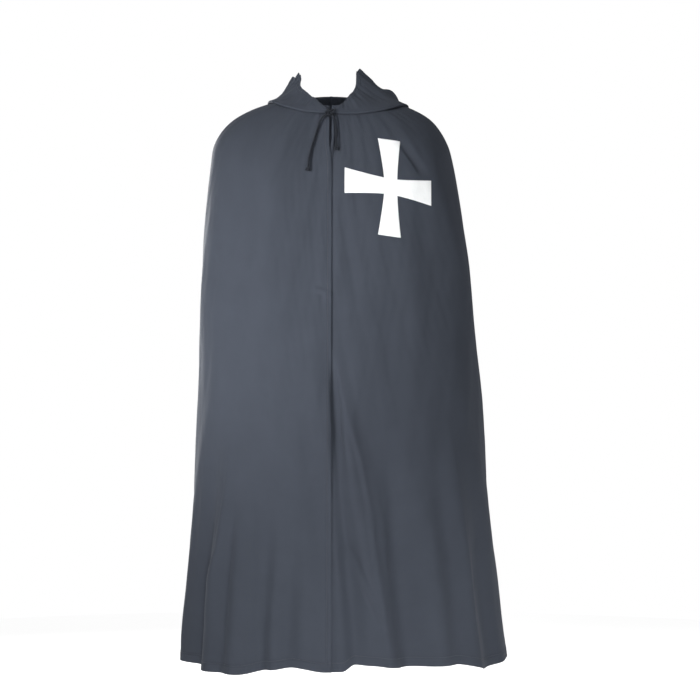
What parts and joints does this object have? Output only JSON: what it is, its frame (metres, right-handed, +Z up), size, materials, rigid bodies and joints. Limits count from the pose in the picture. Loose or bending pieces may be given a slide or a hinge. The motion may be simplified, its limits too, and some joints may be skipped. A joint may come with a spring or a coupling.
{
  "type": "hooded cloak",
  "caption": "Calf-length black hooded cloak in its worn form, tied at the neck, with a flared white cross sewn on the wearer's left breast and the hood thrown back.",
  "frame": {"origin": "middle of the neck opening, level with the neck seam at the centre front", "axes": "+Z up along the wearer, -Y to the cloak's front, +X to the wearer's left"},
  "size_m": [0.6959, 0.57, 1.2671],
  "materials": {
    "cloth": "black woven polyester, matt with a soft sheen",
    "cross": "white felt, matt",
    "cord": "black braided cord, matt"
  },
  "bodies": {
    "root": {"front_right": "cloth", "front_left": "cloth", "back": "cloth", "hood_right": "cloth", "hood_left": "cloth", "cross": "cross", "tie_knot": "cord", "tie_tail_right": "cord", "tie_tail_left": "cord", "tie_end_right": "cord", "tie_end_left": "cord"}
  },
  "joints": []
}
